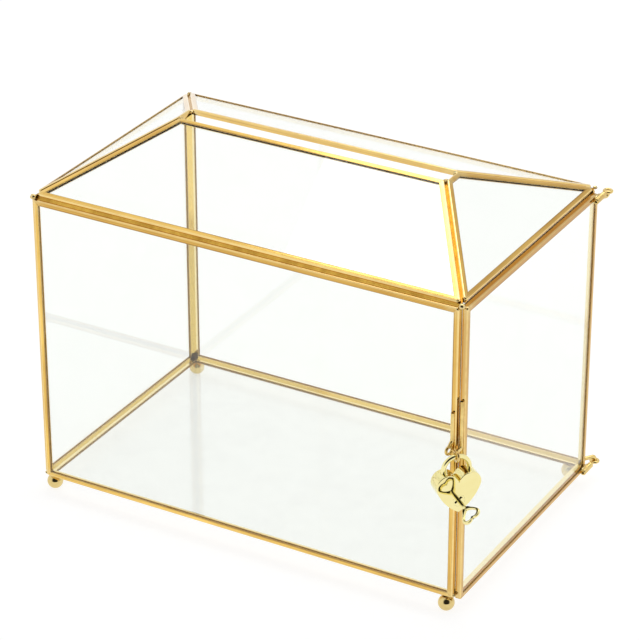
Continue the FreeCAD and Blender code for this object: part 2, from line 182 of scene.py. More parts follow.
class Graph:
    """A node graph that short calls fill in."""

    def __init__(self, tree: bpy.types.NodeTree) -> None:
        """Empty a tree and start on it.

        Args:
            tree: Node tree of a material or of the world.
        """
        tree.nodes.clear()
        self.tree = tree

    def add(self, kind: str, sockets: dict, **settings: object) -> bpy.types.Node:
        """Add one node.

        Args:
            kind: Node type without its prefix.
            sockets: Input names or numbers, each with a plain value or an output to wire in.
            settings: Properties of the node.

        Returns:
            The new node.
        """
        node = self.tree.nodes.new("ShaderNode" + kind)
        for key, value in settings.items():
            setattr(node, key, value)
        for key, value in sockets.items():
            if isinstance(value, Socket):
                self.tree.links.new(value, node.inputs[key])
            elif node.inputs[key].type == "RGBA":
                node.inputs[key].default_value = (*value, 1.0)
            else:
                node.inputs[key].default_value = value
        return node

    def place(self) -> Socket:
        """Read the object's own coordinates."""
        return self.add("TexCoord", {}).outputs["Object"]

    def cloud(self, scale: float, detail: float, place: Socket) -> Socket:
        """Add a noise pattern.

        Args:
            scale: Patches per metre.
            detail: Octaves of finer noise.
            place: Coordinates to read.

        Returns:
            Output between 0 and 1.
        """
        sockets = {"Vector": place, "Scale": scale, "Detail": detail, "Roughness": NOISE_ROUGHNESS}
        return self.add("TexNoise", sockets).outputs["Fac"]

    def spread(self, value: Socket, source: Range, target: Range) -> Socket:
        """Map a value from one range to another, held at the ends.

        Args:
            value: Output to map.
            source: Range that is read.
            target: Range that is written.

        Returns:
            The mapped output.
        """
        sockets = {0: value, 1: source[0], 2: source[1], 3: target[0], 4: target[1]}
        return self.add("MapRange", sockets).outputs[0]

    def maths(self, operation: str, first: Socket, second: Socket | float) -> Socket:
        """Combine two numbers by a named operation."""
        return self.add("Math", {0: first, 1: second}, operation=operation).outputs[0]

    def times(self, first: Socket, second: Socket) -> Socket:
        """Multiply two numbers."""
        return self.maths("MULTIPLY", first, second)

    def either(self, first: Socket, second: Socket) -> Socket:
        """Take the larger of two numbers."""
        return self.maths("MAXIMUM", first, second)

    def blend(self, share: Socket, first: Socket | Colour, second: Socket | Colour) -> Socket:
        """Mix two colours by a share between 0 and 1."""
        return self.add("Mix", {0: share, 6: first, 7: second}, data_type="RGBA").outputs[2]

    def attribute(self, name: str) -> Socket:
        """Read a number painted on the mesh."""
        return self.add("Attribute", {}, attribute_name=name).outputs["Fac"]

    def seen(self) -> Socket:
        """Tell rays that show the background, also in metal and glass, from rays that light the box.

        Returns:
            1 for rays that show the background and 0 for the others.
        """
        path = self.add("LightPath", {}).outputs
        mirrored = self.either(path["Is Glossy Ray"], path["Is Transmission Ray"])
        return self.either(path["Is Camera Ray"], mirrored)

    def bump(self, height: Socket, depth: float) -> bpy.types.Node:
        """Turn a height pattern of some depth in metres into a bent normal."""
        return self.add("Bump", {"Height": height, "Distance": depth, "Strength": 1.0})


def new_material(name: str) -> tuple[bpy.types.Material, Graph]:
    """Start a material.

    Args:
        name: Name of the material.

    Returns:
        The material and its empty graph.
    """
    material = bpy.data.materials.new(name)
    material.use_nodes = True
    return material, Graph(material.node_tree)


@dataclass(frozen=True)
class MetalFinish:
    """A metal with patchy tarnish, fine specks and shallow dents."""

    name: str
    clean: Colour
    tarnish: Colour
    tarnish_share: float
    roughness: Range
    patch_scale: float
    dent_depth: float
    lacquer: float = 0.0
    lacquer_blur: float = 0.05
    patch_detail: float = 5.0
    patch_band: Range = (0.38, 0.68)
    dents_per_patch: float = 4.0
    dent_detail: float = 2.0
    specks_per_patch: float = 11.0
    speck_detail: float = 3.0
    speck_band: Range = (0.3, 0.7)

    def specks(self, graph: Graph) -> Socket:
        """Add the fine specks."""
        return graph.cloud(self.patch_scale * self.specks_per_patch, self.speck_detail, graph.place())

    def colour(self, graph: Graph) -> Socket:
        """Blend the clean and the tarnished metal in patches.

        Args:
            graph: The material's graph.

        Returns:
            The colour.
        """
        patches = graph.cloud(self.patch_scale, self.patch_detail, graph.place())
        share = graph.spread(patches, self.patch_band, (0.0, self.tarnish_share))
        return graph.blend(share, self.clean, self.tarnish)

    def metalness(self, graph: Graph) -> Socket | float:
        """Return how metallic the surface is."""
        return 1.0

    def normal(self, graph: Graph) -> Socket:
        """Bend the normal with shallow dents."""
        dents = graph.cloud(self.patch_scale * self.dents_per_patch, self.dent_detail, graph.place())
        return graph.bump(dents, self.dent_depth).outputs[0]

    def material(self) -> bpy.types.Material:
        """Build the metal's material.

        Returns:
            The material.
        """
        material, graph = new_material(self.name)
        metal = graph.add("BsdfPrincipled", {
            "Base Color": self.colour(graph),
            "Metallic": self.metalness(graph),
            "Roughness": graph.spread(self.specks(graph), self.speck_band, self.roughness),
            "Normal": self.normal(graph),
            "Coat Weight": self.lacquer,
            "Coat Roughness": self.lacquer_blur,
        })
        graph.add("OutputMaterial", {"Surface": metal.outputs[0]})
        return material


@dataclass(frozen=True)
class ChannelFinish(MetalFinish):
    """Folded brass: pale inside the box as a painted highlight, brown in its groove, streaked along it,
    with painted sheen near its folds, painted shade on its lips and strips, and worn folds paled also as a
    painted highlight.
    """

    # Painted highlight on the faces inside the box
    inner: Colour = (0.98, 0.83, 0.45)
    groove: Colour = (0.62, 0.34, 0.06)
    dull_shine: float = 0.05
    drawn_scale: Scale = (25.0, 5200.0, 1.0)
    drawn_depth: float = 0.000004
    drawn_detail: float = 2.0
    streak_scale: Scale = (5.0, 1000.0, 1.0)
    streak_band: Range = (0.48, 0.64)
    streak_share: float = 0.75
    # Painted sheen near the folds
    sheen: Colour = (0.98, 0.80, 0.36)
    fold_band: Range = (0.0024, 0.0031)
    sheen_band: Range = (0.0030, 0.0047)
    sheen_share: float = 0.35
    dim_band: Range = (0.34, 0.58)
    dim_share: Range = (1.0, 0.15)
    # Painted shade along the lips, where the flange meets the glass
    lip: Colour = (0.33, 0.20, 0.055)
    lip_shade_band: Range = (0.0051, 0.0059)
    lip_shade_share: float = 0.75
    smear: Colour = (0.84, 0.68, 0.33)
    smear_band: Range = (0.35, 0.65)
    smear_share: Range = (0.2, 1.0)
    # Worn folds, paled also as a painted highlight
    rubbed_highlight: Colour = (0.97, 0.76, 0.34)
    worn_highlight_band: Range = (0.35, 0.62)
    worn_highlight_share: Range = (0.4, 1.0)
    shaded_strip_share: Range = (1.0, 0.3)

    def strip_place(self, graph: Graph) -> Socket:
        """Read the place along and across the strip."""
        return graph.add("UVMap", {}, uv_map="strip").outputs["UV"]

    def stretched(self, graph: Graph, scale: Scale) -> Socket:
        """Add a noise pattern drawn out along the strip."""
        along = graph.add("Mapping", {"Vector": self.strip_place(graph), "Scale": scale}).outputs[0]
        return graph.cloud(1.0, self.drawn_detail, along)

    def colour(self, graph: Graph) -> Socket:
        """Lay streaks, painted shade on the strips and along the lips, painted sheen near the folds, the
        painted highlight inside the box, groove faces, smears and worn folds with their painted highlight
        over the brass.

        Args:
            graph: The material's graph.

        Returns:
            The colour.
        """
        specks, drawn = self.specks(graph), self.stretched(graph, self.streak_scale)
        streaks = graph.spread(drawn, self.streak_band, (0.0, self.streak_share))
        colour = graph.blend(streaks, super().colour(graph), self.tarnish)
        # Painted shade: each strip is darkened towards the tarnish colour by its own share
        strip_shade = graph.attribute("strip_shade")
        colour = graph.blend(strip_shade, colour, self.tarnish)
        across = graph.add("SeparateXYZ", {0: self.strip_place(graph)}).outputs["Y"]
        # Painted sheen: paled near the fold, less along dim streaks and on shaded strips
        shining = graph.spread(across, self.sheen_band, (self.sheen_share, 0.0))
        shining = graph.times(shining, graph.spread(across, self.fold_band, (0.0, 1.0)))
        bright = graph.spread(drawn, self.dim_band, self.dim_share)
        bright = graph.times(bright, graph.spread(strip_shade, (0.0, 1.0), (1.0, 0.0)))
        colour = graph.blend(graph.times(shining, bright), colour, self.sheen)
        # Painted shade: a dark line along each lip, where the flange meets the glass
        colour = graph.blend(graph.spread(across, self.lip_shade_band, (0.0, self.lip_shade_share)), colour, self.lip)
        # Painted highlight on the faces inside the box and on the spines
        colour = graph.blend(graph.attribute("inner"), colour, self.inner)
        colour = graph.blend(graph.attribute("groove"), colour, self.groove)
        smeared = graph.spread(specks, self.smear_band, self.smear_share)
        colour = graph.blend(graph.times(graph.attribute("joint"), smeared), colour, self.smear)
        # Worn folds, paled also as a painted highlight, less on shaded strips
        worn_highlight = graph.spread(specks, self.worn_highlight_band, self.worn_highlight_share)
        worn_highlight = graph.times(graph.attribute("wear_and_highlight"), worn_highlight)
        worn_highlight = graph.times(worn_highlight, graph.spread(strip_shade, (0.0, 1.0), self.shaded_strip_share))
        return graph.blend(worn_highlight, colour, self.rubbed_highlight)

    def metalness(self, graph: Graph) -> Socket | float:
        """Dull the grooves of the walls and the base."""
        return graph.spread(graph.attribute("dull"), (0.0, 1.0), (1.0, self.dull_shine))

    def normal(self, graph: Graph) -> Socket:
        """Add fine drawn lines to the dents.

        Args:
            graph: The material's graph.

        Returns:
            The bent normal.
        """
        drawn = graph.bump(self.stretched(graph, self.drawn_scale), self.drawn_depth)
        graph.tree.links.new(super().normal(graph), drawn.inputs["Normal"])
        return drawn.outputs[0]


@dataclass(frozen=True)
class GlassFinish:
    """Clear pane glass with faint handling marks."""

    name: str = "pane_glass"
    tint: Colour = (0.991, 0.997, 0.989)
    bend: float = 1.5
    blur: Range = (0.0, 0.02)
    blur_band: Range = (0.45, 0.75)
    smudge_scale: float = 38.0
    smudge_detail: float = 4.0
    smudge_band: Range = (0.45, 0.8)
    smudge_share: float = 0.012
    dust: Colour = (0.93, 0.94, 0.93)

    def material(self) -> bpy.types.Material:
        """Build the glass: clear to the lamps, bending what is seen, with a trace of dust.

        Returns:
            The material.
        """
        material, graph = new_material(self.name)
        smudges = graph.cloud(self.smudge_scale, self.smudge_detail, graph.place())
        roughness = graph.spread(smudges, self.blur_band, self.blur)
        sockets = {"Color": self.tint, "Roughness": roughness, "IOR": self.bend}
        pane = graph.add("BsdfGlass", sockets).outputs[0]
        dust = graph.add("BsdfDiffuse", {"Color": self.dust}).outputs[0]
        share = graph.spread(smudges, self.smudge_band, (0.0, self.smudge_share))
        dusty = graph.add("MixShader", {0: share, 1: pane, 2: dust}).outputs[0]
        clear = graph.add("BsdfTransparent", {"Color": self.tint}).outputs[0]
        path = graph.add("LightPath", {}).outputs
        lighting = graph.either(path["Is Shadow Ray"], path["Is Diffuse Ray"])
        surface = graph.add("MixShader", {0: lighting, 1: dusty, 2: clear}).outputs[0]
        graph.add("OutputMaterial", {"Surface": surface})
        return material


@dataclass(frozen=True)
class FloorFinish:
    """White studio floor that keeps the shadows."""

    name: str = "white_floor"
    paper: Range = (0.78, 0.82)
    grain_scale: float = 3.0
    grain_detail: float = 3.0
    grain_band: Range = (0.3, 0.7)
    lit_share: Colour = (0.30, 0.30, 0.30)
    glow: float = 0.82

    def material(self) -> bpy.types.Material:
        """Build the floor: plain paper to the light, and nearly white where it is seen.

        Returns:
            The material.
        """
        material, graph = new_material(self.name)
        grain = graph.cloud(self.grain_scale, self.grain_detail, graph.place())
        paper = graph.spread(grain, self.grain_band, self.paper)
        plain = graph.add("BsdfDiffuse", {"Color": paper}).outputs[0]
        lit = graph.add("BsdfDiffuse", {"Color": self.lit_share}).outputs[0]
        glow = graph.add("Emission", {"Color": WHITE, "Strength": self.glow}).outputs[0]
        shown = graph.add("AddShader", {0: lit, 1: glow}).outputs[0]
        floor = graph.add("MixShader", {0: graph.seen(), 1: plain, 2: shown}).outputs[0]
        graph.add("OutputMaterial", {"Surface": floor})
        return material


class Palette:
    """The finishes of the box, made once."""

    def __init__(self) -> None:
        """Make every material."""
        self.channel = ChannelFinish(
            "channel_brass", clean=(0.97, 0.65, 0.17), tarnish=(0.46, 0.22, 0.03), tarnish_share=0.45,
            roughness=(0.08, 0.18), patch_scale=26.0, dent_depth=0.00002, lacquer=0.3,
        ).material()
        self.seam = MetalFinish(
            "seam_brass", clean=(0.70, 0.42, 0.075), tarnish=(0.38, 0.19, 0.025), tarnish_share=0.8,
            roughness=(0.14, 0.30), patch_scale=120.0, dent_depth=0.00008,
        ).material()
        self.wire = MetalFinish(
            "wire_brass", clean=(0.82, 0.62, 0.23), tarnish=(0.52, 0.31, 0.07), tarnish_share=0.7,
            roughness=(0.08, 0.20), patch_scale=130.0, dent_depth=0.00003, lacquer=0.4,
        ).material()
        self.ball = MetalFinish(
            "ball_brass", clean=(0.80, 0.63, 0.27), tarnish=(0.52, 0.35, 0.11), tarnish_share=0.6,
            roughness=(0.03, 0.09), patch_scale=90.0, dent_depth=0.00002, lacquer=0.2,
        ).material()
        self.gold = MetalFinish(
            "lock_gold", clean=(0.91, 0.82, 0.40), tarnish=(0.87, 0.75, 0.32), tarnish_share=0.5,
            roughness=(0.015, 0.05), patch_scale=110.0, dent_depth=0.000001, lacquer=0.2,
        ).material()
        self.solder = MetalFinish(
            "gilt_solder", clean=(0.84, 0.68, 0.34), tarnish=(0.46, 0.29, 0.08), tarnish_share=0.9,
            roughness=(0.12, 0.30), patch_scale=260.0, dent_depth=0.0001,
        ).material()
        # Near-black brass for the strip in the door's gap: painted shade
        self.gap = MetalFinish(
            "gap_shade_brass", clean=(0.18, 0.09, 0.015), tarnish=(0.08, 0.04, 0.008), tarnish_share=0.9,
            roughness=(0.3, 0.5), patch_scale=90.0, dent_depth=0.00004,
        ).material()
        # Darker solder for the inner corners: painted shade
        self.dull_shaded_solder = MetalFinish(
            "dull_shaded_solder", clean=(0.24, 0.18, 0.12), tarnish=(0.10, 0.065, 0.035), tarnish_share=0.9,
            roughness=(0.25, 0.5), patch_scale=260.0, dent_depth=0.00015,
        ).material()
        self.steel = MetalFinish(
            "lock_steel", clean=(0.56, 0.56, 0.55), tarnish=(0.36, 0.34, 0.31), tarnish_share=0.6,
            roughness=(0.2, 0.36), patch_scale=180.0, dent_depth=0.00002,
        ).material()
        self.glass = GlassFinish().material()
        # The base glass is greyer and dustier: partly dust, partly painted shade over the base
        self.base_glass = GlassFinish(
            "base_glass", tint=(0.969, 0.975, 0.965), blur=(0.05, 0.09), smudge_share=0.03
        ).material()
        self.floor = FloorFinish().material()


def vector_field(x: float, y: float, z: float) -> Vector:
    """Declare a field that starts as a vector."""
    return field(default_factory=lambda: Vector((x, y, z)))


def show(item: bpy.types.Object) -> None:
    """Put an object into the scene."""
    bpy.context.scene.collection.objects.link(item)


def everything(mesh: Mesh) -> list:
    """Return all points, edges and faces of a mesh."""
    return mesh.verts[:] + mesh.edges[:] + mesh.faces[:]


def only(kind: type, items: list) -> list:
    """Return the points, edges or faces among what an operator made."""
    return [item for item in items if isinstance(item, kind)]


def turn_outwards(mesh: Mesh) -> None:
    """Make the faces of a closed mesh point outwards."""
    bmesh.ops.recalc_face_normals(mesh, faces=mesh.faces[:])


def sharp_rim(mesh: Mesh, on_rim: Callable[[Vector], bool]) -> list[MeshEdge]:
    """Find the sharp edges along a rim.

    Args:
        mesh: The mesh.
        on_rim: Tells whether a point lies on the rim.

    Returns:
        The edges.
    """
    found = [edge for edge in mesh.edges if all(on_rim(vert.co) for vert in edge.verts)]
    return [edge for edge in found if len(edge.link_faces) == 2 and edge.calc_face_angle() > SHARP_TURN]


def cut_away(mesh: Mesh, point: Vector, normal: Vector) -> None:
    """Cut off what lies past a plane and close the cut.

    Args:
        mesh: The mesh to cut.
        point: A point on the plane.
        normal: Direction of the part that goes.
    """
    cut = bmesh.ops.bisect_plane(
        mesh, geom=everything(mesh), dist=MERGE, plane_co=point, plane_no=normal, clear_outer=True
    )
    bmesh.ops.holes_fill(mesh, edges=only(MeshEdge, cut["geom_cut"]))


def round_off(mesh: Mesh, edges: list[MeshEdge], radius: float, segments: int) -> None:
    """Round some edges of a mesh.

    Args:
        mesh: The mesh.
        edges: Edges to round.
        radius: Radius of the rounding.
        segments: Faces across the rounding.
    """
    bmesh.ops.bevel(
        mesh, geom=edges, offset=radius, offset_type="OFFSET", segments=segments, profile=0.5,
        affect="EDGES", material=-1, clamp_overlap=False,
    )


def take_in(target: Mesh, source: Mesh) -> None:
    """Move one mesh into another and free it.

    Args:
        target: The mesh that grows.
        source: The mesh that is taken in.
    """
    carried = bpy.data.meshes.new("carried")
    source.to_mesh(carried)
    source.free()
    target.from_mesh(carried)
    bpy.data.meshes.remove(carried)


@dataclass
class Bench:
    """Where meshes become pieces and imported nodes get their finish."""

    nodes: dict[str, bpy.types.Object]
    palette: Palette

    def copy(self, node: str) -> Mesh:
        """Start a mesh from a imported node.

        Args:
            node: Name of the node.

        Returns:
            A copy of the node's mesh, its loose triangles merged into whole faces.
        """
        mesh = bmesh.new()
        mesh.from_mesh(self.nodes[node].data)
        self.merge(mesh)
        return mesh

    def merge(self, mesh: Mesh) -> None:
        """Join loose triangles and take out the edges inside flat faces."""
        bmesh.ops.remove_doubles(mesh, verts=mesh.verts[:], dist=MERGE)
        bmesh.ops.dissolve_limit(mesh, angle_limit=FLAT_ANGLE, verts=mesh.verts[:], edges=mesh.edges[:])

    def place(
        self, mesh: Mesh, name: str, body: Body, slot: Slot, material: bpy.types.Material,
        stands_for: str | None = None, crease: float = 40.0, even: bool = False,
    ) -> None:
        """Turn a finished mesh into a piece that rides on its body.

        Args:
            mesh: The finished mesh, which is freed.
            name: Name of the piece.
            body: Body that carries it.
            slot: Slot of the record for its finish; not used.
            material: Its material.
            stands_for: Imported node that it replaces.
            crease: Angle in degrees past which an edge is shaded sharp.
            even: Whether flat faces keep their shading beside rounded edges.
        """
        data = bpy.data.meshes.new(name)
        mesh.to_mesh(data)
        mesh.free()
        data.shade_smooth()
        data.set_sharp_from_angle(angle=math.radians(crease))
        data.materials.append(material)
        piece = bpy.data.objects.new(name, data)
        show(piece)
        if even:
            piece.modifiers.new("even_shading", "WEIGHTED_NORMAL").keep_sharp = True
        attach(piece, body.value)
        if stands_for:
            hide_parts(stands_for)
        LOG.info("%s on %s: %d faces", name, body.value, len(data.polygons))

    def dress(self, node: str, material: bpy.types.Material) -> None:
        """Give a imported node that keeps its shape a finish.

        Args:
            node: Name of the node.
            material: Its material.
        """
        for slot in self.nodes[node].material_slots:
            slot.material = material
        LOG.info("%s keeps its packed shape", node)


@dataclass(frozen=True)
class CaseSizes:
    """Inner planes of the box, its door's outline and the thickness of its panes."""

    half_length: float
    half_width: float
    floor: float
    wall_bottom: float
    eave: float
    pane: float
    door_low: Vector
    door_high: Vector
    roof_rise: float = 0.027
    slot_half_length: float = 0.080
    slot_half_width: float = 0.0055

    @classmethod
    def from_frame(cls) -> CaseSizes:
        """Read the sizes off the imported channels.

        Returns:
            The sizes.
        """
        base_low, base_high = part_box("base_channel")
        front_low, front_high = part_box("front_channel")
        door_low, door_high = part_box("door_channel")
        pane = base_high.z - base_low.z
        heights = base_high.z, front_low.z, front_high.z
        return cls(base_high.x, base_high.y, *heights, pane, Vector(door_low), Vector(door_high))

    @property
    def ridge(self) -> float:
        """Height of the card slot."""
        return self.eave + self.roof_rise

    def ring(self, reach_x: float, reach_y: float, height: float) -> list[Vector]:
        """Return the front left, front right, back right and back left corners of a level rectangle."""
        signs = ((-1, -1), (1, -1), (1, 1), (-1, 1))
        return [Vector((side_x * reach_x, side_y * reach_y, height)) for side_x, side_y in signs]

    def wall_ring(self, height: float) -> list[Vector]:
        """Return the inner corners of the walls at some height."""
        return self.ring(self.half_length, self.half_width, height)

    def ridge_ring(self) -> list[Vector]:
        """Return the inner corners of the card slot."""
        return self.ring(self.slot_half_length, self.slot_half_width, self.ridge)

    def outline(self, pane: Pane) -> list[Vector]:
        """Return a pane's inner outline.

        Args:
            pane: Which pane.

        Returns:
            Its four corners, anticlockwise as seen from outside.
        """
        if pane is Pane.BASE:
            return self.wall_ring(self.floor)[::-1]
        if pane is Pane.DOOR:
            low, high = self.door_low, self.door_high
            spots = ((low.y, low.z), (high.y, low.z), (high.y, high.z), (low.y, high.z))
            return [Vector((low.x, y, z)) for y, z in spots]
        low, eave, ridge = self.wall_ring(self.wall_bottom), self.wall_ring(self.eave), self.ridge_ring()
        walls = {Pane.FRONT: (0, 1), Pane.BACK: (2, 3), Pane.LEFT: (3, 0)}
        if pane in walls:
            first, last = walls[pane]
            return [low[first], low[last], eave[last], eave[first]]
        first = ROOFS.index(pane)
        last = (first + 1) % 4
        return [eave[first], eave[last], ridge[last], ridge[first]]


@dataclass
class ChannelFrame:
    """Four mitred strips of folded brass channel around one pane, and the glass in them."""

    pane: Pane
    sizes: CaseSizes
    wall: float = 0.00045
    wall_share: float = 0.9
    fold_radius: float = 0.0009
    fold_segments: int = 5
    lip_radius: float = 0.00012
    lip_segments: int = 2
    mitre_gap: float = 0.00004
    smear_reach: float = 0.009
    smear_cuts: Range = (0.35, 1.0)
    # Share of the painted highlight on the spines
    spine_highlight_share: float = 0.2
    crease: float = 30.0
    corners: list[Vector] = field(init=False)
    normal: Vector = field(init=False)

    def __post_init__(self) -> None:
        """Work out the pane's outline and the way it faces."""
        self.corners = self.sizes.outline(self.pane)
        first, last = self.corners[1] - self.corners[0], self.corners[3] - self.corners[0]
        self.normal = first.cross(last).normalized()

    @property
    def node(self) -> str:
        """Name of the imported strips."""
        return self.pane.value + "_channel"

    def along(self, side: int) -> Vector:
        """Return the direction of one side of the outline."""
        return (self.corners[(side + 1) % 4] - self.corners[side % 4]).normalized()

    def inward(self, side: int) -> Vector:
        """Return the direction from one side into the pane."""
        return self.normal.cross(self.along(side))

    def depth(self, point: Vector, side: int) -> float:
        """Return how far a point lies inside one side."""
        return (point - self.corners[side % 4]).dot(self.inward(side))

    def height(self, point: Vector) -> float:
        """Return how far a point lies outside the pane's inner plane."""
        return (point - self.corners[0]).dot(self.normal)

    def side_of(self, face: bmesh.types.BMFace) -> int:
        """Return the side whose strip holds a face."""
        point = face.calc_center_median() - face.normal * NEAR
        return min(range(4), key=lambda side: self.depth(point, side))

    def strip(self, bench: Bench, side: int) -> Mesh:
        """Make one strip with rounded folds, thin lips and open mitres.

        Args:
            bench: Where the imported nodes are.
            side: Which side of the pane.

        Returns:
            The strip's mesh.
        """
        mesh = bmesh.new()
        mesh.from_mesh(bench.nodes[self.node].data)
        others = [face for face in mesh.faces if self.side_of(face) != side]
        bmesh.ops.delete(mesh, geom=others, context="FACES")
        bench.merge(mesh)
        self.open_mitre(mesh, side, side, 1.0)
        self.open_mitre(mesh, side, side + 1, -1.0)
        outer = self.sizes.pane
        folds = self.long_edges(mesh, side, outer, Edge.FOLD)
        round_off(mesh, folds, self.fold_radius, self.fold_segments)
        for level in (0.0, outer):
            lips = self.long_edges(mesh, side, level, Edge.LIP)
            round_off(mesh, lips, self.lip_radius, self.lip_segments)
        start, way = self.corners[side], self.along(side)
        length = (self.corners[(side + 1) % 4] - start).length
        for share in self.smear_cuts:
            for spot in (self.smear_reach * share, length - self.smear_reach * share):
                cut = start + way * spot
                bmesh.ops.bisect_plane(mesh, geom=everything(mesh), dist=MERGE, plane_co=cut, plane_no=way)
        return mesh

    def open_mitre(self, mesh: Mesh, side: int, corner: int, way: float) -> None:
        """Draw a strip's mitred end back by a hair.

        Args:
            mesh: The strip.
            side: Which side of the pane it runs along.
            corner: Corner at that end.
            way: 1 at the strip's start and -1 at its end.
        """
        inner = (self.inward(corner) + self.inward(corner - 1)).normalized()
        across = self.normal.cross(inner)
        centre = self.corners[corner % 4]
        ends = [vert for vert in mesh.verts if abs((vert.co - centre).dot(across)) < NEAR]
        bmesh.ops.translate(mesh, verts=ends, vec=self.along(side) * way * self.mitre_gap)

    def long_edges(self, mesh: Mesh, side: int, level: float, kind: Edge) -> list[MeshEdge]:
        """Find a strip's folds or lips on one of its two broad faces.

        Args:
            mesh: The strip.
            side: Which side of the pane it runs along.
            level: Height of the broad face.
            kind: Whether folds or lips are wanted.

        Returns:
            The edges.
        """
        inward = self.inward(side)
        found = []
        for edge in mesh.edges:
            if any(abs(self.height(vert.co) - level) > NEAR for vert in edge.verts):
                continue
            upright = [face for face in edge.link_faces if abs(face.normal.dot(self.normal)) < ALONG]
            if len(upright) != 1:
                continue
            lean = upright[0].normal.dot(inward)
            if lean < -LEANING if kind is Edge.FOLD else lean > SQUARE:
                found.append(edge)
        return found

    def paint(self, mesh: Mesh) -> None:
        """Paint the smears, the worn folds with their painted highlight, the painted highlight on inner
        faces and spines, the grooves and each strip's painted shade, and lay the strips' UV map.

        Args:
            mesh: The joined strips.
        """
        joint = mesh.verts.layers.float.new("joint")
        wear_and_highlight = mesh.verts.layers.float.new("wear_and_highlight")
        inner = mesh.faces.layers.float.new("inner")
        groove = mesh.faces.layers.float.new("groove")
        dull = mesh.faces.layers.float.new("dull")
        strip_shade = mesh.faces.layers.float.new("strip_shade")
        strip = mesh.loops.layers.uv.new("strip")
        strip_shades = STRIP_SHADES.get(self.pane, PLAIN_STRIP_SHADES)
        skin = self.wall * self.wall_share
        for vert in mesh.verts:
            gap = min((vert.co - corner).length for corner in self.corners)
            vert[joint] = max(0.0, 1.0 - gap / self.smear_reach)
            # Worn folds, also a painted highlight: points inside the rounding of a fold are marked
            depth = min(self.depth(vert.co, side) for side in range(4))
            drop = self.sizes.pane - self.height(vert.co)
            if max(depth, drop) < self.fold_radius - NEAR:
                vert[wear_and_highlight] = max(0.0, 1.0 - abs(depth - drop) / self.fold_radius)
        for face in mesh.faces:
            side = self.side_of(face)
            way, inward = self.along(side), self.inward(side)
            centre = face.calc_center_median()
            rise, depth = self.height(centre), self.depth(centre, side)
            # Painted shade of this strip
            face[strip_shade] = strip_shades[side]
            # Painted highlight: faces inside the box in full, the spines in part
            if face.normal.dot(self.normal) < -ALONG and rise < self.wall / 2:
                face[inner] = 1.0
            elif face.normal.dot(inward) < -LEANING:
                face[inner] = self.spine_highlight_share
            within = skin < rise < self.sizes.pane - skin
            if within and depth > skin and abs(face.normal.dot(way)) < CROSSWISE:
                face[groove] = 1.0
                face[dull] = 0.0 if self.pane in ROOFS else 1.0
            for loop in face.loops:
                point = loop.vert.co - self.corners[side]
                loop[strip].uv = (point.dot(way), point.dot(inward) + point.dot(self.normal))

    def build(self, bench: Bench) -> None:
        """Make the strips and dress the glass.

        Args:
            bench: Where the pieces are made.
        """
        frame = bmesh.new()
        for side in range(4):
            take_in(frame, self.strip(bench, side))
        self.paint(frame)
        name, finish = self.node + "_strips", bench.palette.channel
        bench.place(frame, name, self.pane.body, Slot.CHANNEL, finish, self.node, self.crease, True)
        glass = bench.palette.base_glass if self.pane is Pane.BASE else bench.palette.glass
        bench.dress(self.pane.value + "_glass", glass)


@dataclass
class Seam:
    """The run of brass solder in the groove where two fixed panes meet."""

    first: ChannelFrame
    second: ChannelFrame
    fill: float = 0.5
    sag: float = 0.12
    steps: int = 4

    def build(self, bench: Bench) -> None:
        """Make the hollow strip between the two panes' outer folds.

        Args:
            bench: Where the pieces are made.
        """
        ends = [a for a in self.first.corners if any((a - b).length < NEAR for b in self.second.corners)]
        thick = self.first.sizes.pane
        rows = []
        mesh = bmesh.new()
        for end in ends:
            row = []
            for step in range(self.steps + 1):
                share = step / self.steps
                way = self.first.normal * (1.0 - share) + self.second.normal * share
                sunk = self.fill - self.sag * 4.0 * share * (1.0 - share)
                row.append(mesh.verts.new(end + way * thick * sunk))
            rows.append(row + [mesh.verts.new(end)])
        count = self.steps + 2
        for step in range(count):
            follow = (step + 1) % count
            mesh.faces.new((rows[0][step], rows[0][follow], rows[1][follow], rows[1][step]))
        for row in rows:
            mesh.faces.new(row)
        turn_outwards(mesh)
        name = f"{self.first.pane.value}_{self.second.pane.value}_seam"
        bench.place(mesh, name, Body.CASE, Slot.SOLDER, bench.palette.seam)


@dataclass
class DoorGapShade:
    """A thin dark strip inside the case, round the door's edge, that shuts the gap to the light: painted
    shade where the gap would show through.
    """

    sizes: CaseSizes
    lap: float = 0.0009
    thickness: float = 0.0002

    def build(self, bench: Bench) -> None:
        """Make the strip up the front edge, along the top and down the back edge.

        Args:
            bench: Where the pieces are made.
        """
        mesh = bmesh.new()
        plane, floor = self.sizes.half_length, self.sizes.floor
        rows = []
        for lap in (0.0, self.lap):
            wide, top = self.sizes.half_width - lap, self.sizes.eave - lap
            row = ((-wide, floor), (-wide, top), (wide, top), (wide, floor))
            rows.append([mesh.verts.new((plane, y, z)) for y, z in row])
        for step in range(3):
            mesh.faces.new((rows[0][step], rows[1][step], rows[1][step + 1], rows[0][step + 1]))
        made = bmesh.ops.extrude_face_region(mesh, geom=mesh.faces[:])["geom"]
        moved = only(bmesh.types.BMVert, made)
        bmesh.ops.translate(mesh, verts=moved, vec=Vector((-self.thickness, 0.0, 0.0)))
        turn_outwards(mesh)
        bench.place(mesh, "door_gap_shade", Body.CASE, Slot.CHANNEL, bench.palette.gap)


@dataclass
class SolderDrop:
    """One irregular drop of solder."""

    centre: Vector
    reach: Vector
    seed: float
    lumpiness: float = 0.25
    lump_scale: float = 1.7
    seed_steps: Scale = (7.3, 3.1, 5.7)
    subdivisions: int = 3

    def add_to(self, mesh: Mesh) -> None:
        """Add the drop to a mesh.

        Args:
            mesh: The mesh that takes the drop.
        """
        matrix = Matrix.LocRotScale(self.centre, None, self.reach)
        made = bmesh.ops.create_icosphere(mesh, subdivisions=self.subdivisions, radius=1.0, matrix=matrix)
        shift = Vector([self.seed * step for step in self.seed_steps])
        for vert in made["verts"]:
            way = vert.co - self.centre
            scaled = Vector((way.x / self.reach.x, way.y / self.reach.y, way.z / self.reach.z))
            vert.co += way * (self.lumpiness * noise.noise(scaled * self.lump_scale + shift))


